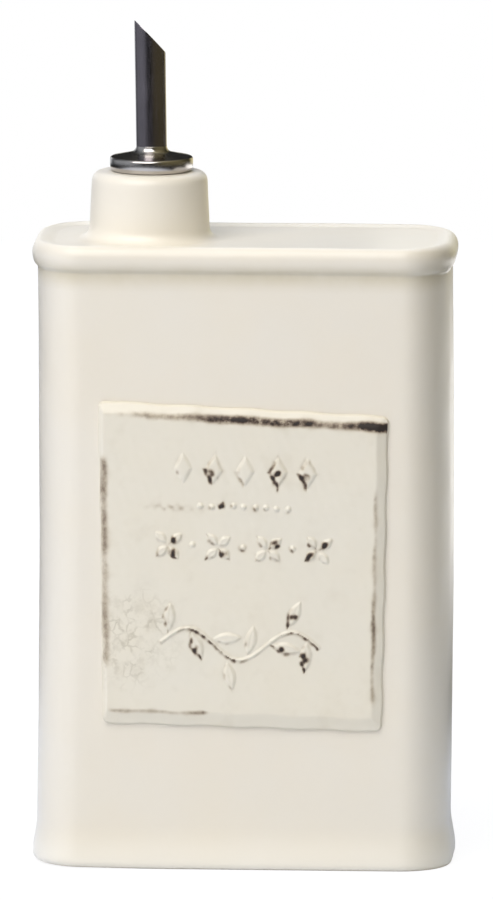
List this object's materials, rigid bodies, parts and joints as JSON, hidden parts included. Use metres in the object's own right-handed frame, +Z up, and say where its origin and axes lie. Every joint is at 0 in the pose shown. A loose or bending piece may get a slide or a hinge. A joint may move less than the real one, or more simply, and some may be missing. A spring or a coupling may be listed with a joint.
{
  "type": "ceramic oil jar with pour spout",
  "caption": "Flat rectangular glazed ceramic oil jar with a relief tablet on its front and a steel pour spout that turns and pulls out of an off-centre neck.",
  "frame": {"origin": "on the ground under the middle of the jar", "axes": "+Z up along the neck, +X to the right seen from the front, -Y out of the front wall that carries the tablet"},
  "size_m": [0.1188, 0.0589, 0.2364],
  "materials": {
    "cream_glaze": "glossy cream glaze",
    "tablet_glaze": "cream glaze worn to brown on its raised edges",
    "stopper_rubber": "matt black",
    "dark_steel": "polished, reflecting dark surroundings",
    "flange_steel": "polished pressed sheet",
    "vent_steel": "plain drawn tube"
  },
  "bodies": {
    "jar": {"jar_body": "cream_glaze", "front_plaque": "tablet_glaze"},
    "plug": {"stopper": "stopper_rubber"},
    "spout": {"spout_tube": "dark_steel", "spout_flange": "flange_steel", "vent_tube": "vent_steel"}
  },
  "joints": [
    {"name": "stopper_pull", "type": "slide", "parent": "jar", "child": "plug", "axis": [0, 0, 1], "range_m": [0, 0.06]},
    {"name": "spout_turn", "type": "hinge", "parent": "plug", "child": "spout", "pos_m": [-0.0265, 0, 0.2], "axis": [0, 0, 1], "continuous": true}
  ]
}
